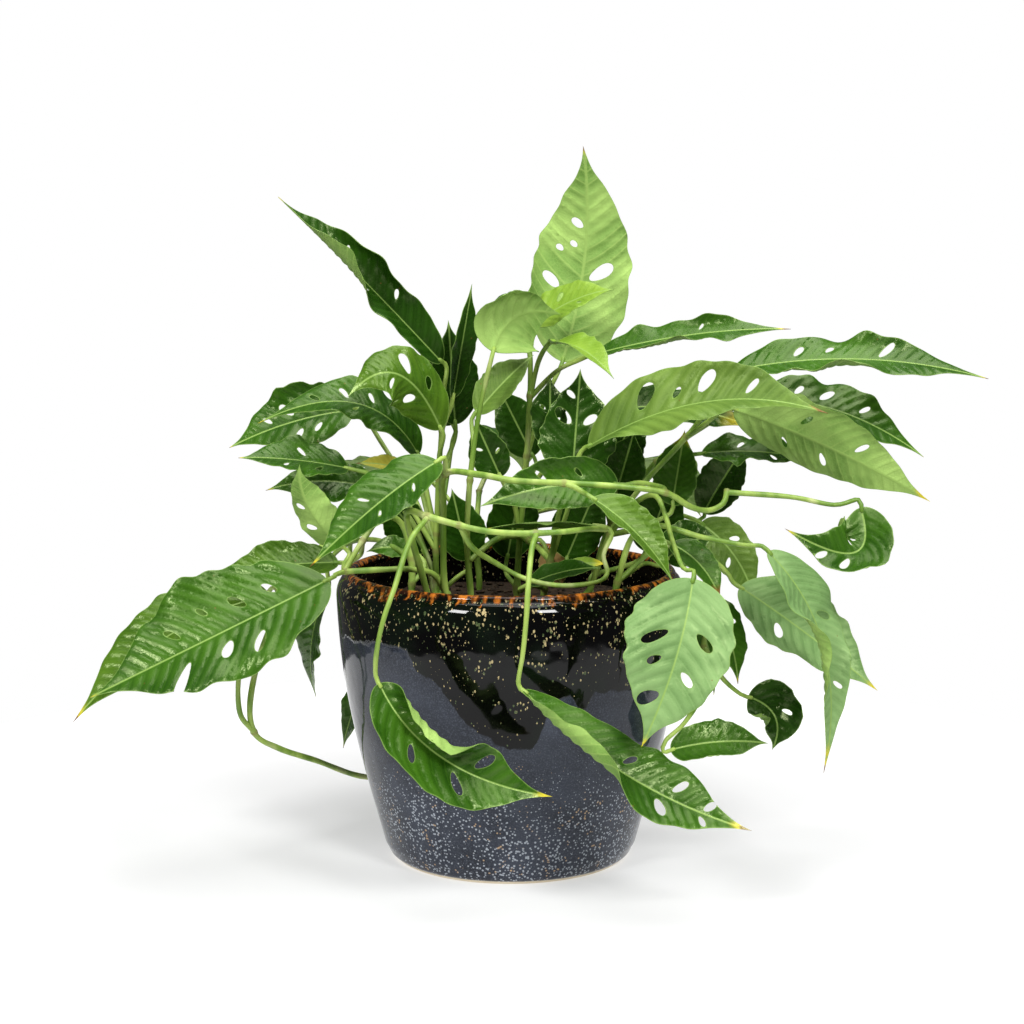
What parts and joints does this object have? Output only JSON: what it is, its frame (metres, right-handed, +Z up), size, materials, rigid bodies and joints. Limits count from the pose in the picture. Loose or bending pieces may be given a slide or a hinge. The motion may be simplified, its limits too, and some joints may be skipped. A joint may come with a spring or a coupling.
{
  "type": "monstera adansonii in a glazed pot",
  "caption": "Swiss cheese vine with holed leaves and trailing stems, growing in soil in a round glazed ceramic pot.",
  "frame": {"origin": "centre of the pot's flat foot, on the surface that it stands on", "axes": "+Z is up along the pot's axis, -Y is the front that the picture shows, +X is to the viewer's right"},
  "size_m": [0.5382, 0.3363, 0.438],
  "materials": {
    "glaze": "gloss",
    "soil": "matte",
    "stem": "satin",
    "leaf": "satin"
  },
  "bodies": {
    "root": {"leaf_back_left": "leaf", "leaf_back_low_left": "leaf", "leaf_back_low_right": "leaf", "leaf_back_middle": "leaf", "leaf_back_right": "leaf", "leaf_behind_left": "leaf", "leaf_big_left": "leaf", "leaf_blue_leaf": "leaf", "leaf_bright_leaf": "leaf", "leaf_brown_tip": "leaf", "leaf_cross_leaf": "leaf", "leaf_cup_leaf": "leaf", "leaf_curled_right": "leaf", "leaf_dark_holes": "leaf", "leaf_dark_upright": "leaf", "leaf_far_right": "leaf", "leaf_front_left": "leaf", "leaf_front_middle": "leaf", "leaf_front_right": "leaf", "leaf_hanging_right": "leaf", "leaf_inner_dark": "leaf", "leaf_inner_tall": "leaf", "leaf_left_arch": "leaf", "leaf_left_dark": "leaf", "leaf_left_pale": "leaf", "leaf_left_second": "leaf", "leaf_left_shelf": "leaf", "leaf_left_small": "leaf", "leaf_long_keel": "leaf", "leaf_low_inner": "leaf", "leaf_low_left": "leaf", "leaf_low_right_dark": "leaf", "leaf_low_right_pale": "leaf", "leaf_mid_left": "leaf", "leaf_point_leaf": "leaf", "leaf_pot_left": "leaf", "leaf_right_behind": "leaf", "leaf_right_grey": "leaf", "leaf_right_hang": "leaf", "leaf_right_lower": "leaf", "leaf_right_olive": "leaf", "leaf_right_upper": "leaf", "leaf_right_wave": "leaf", "leaf_ring_holes": "leaf", "leaf_slant_leaf": "leaf", "leaf_top_tall": "leaf", "leaf_upper_left": "leaf", "leaf_upright_right": "leaf", "leaf_wavy_leaf": "leaf", "leaf_yellow_leaf": "leaf", "pot": "glaze", "soil": "soil", "stem_back": "stem", "stem_centre": "stem", "stem_cross": "stem", "stem_hanging_right": "stem", "stem_left": "stem", "stem_right": "stem", "stem_trailing": "stem", "stem_upper_left": "stem"}
  },
  "joints": []
}
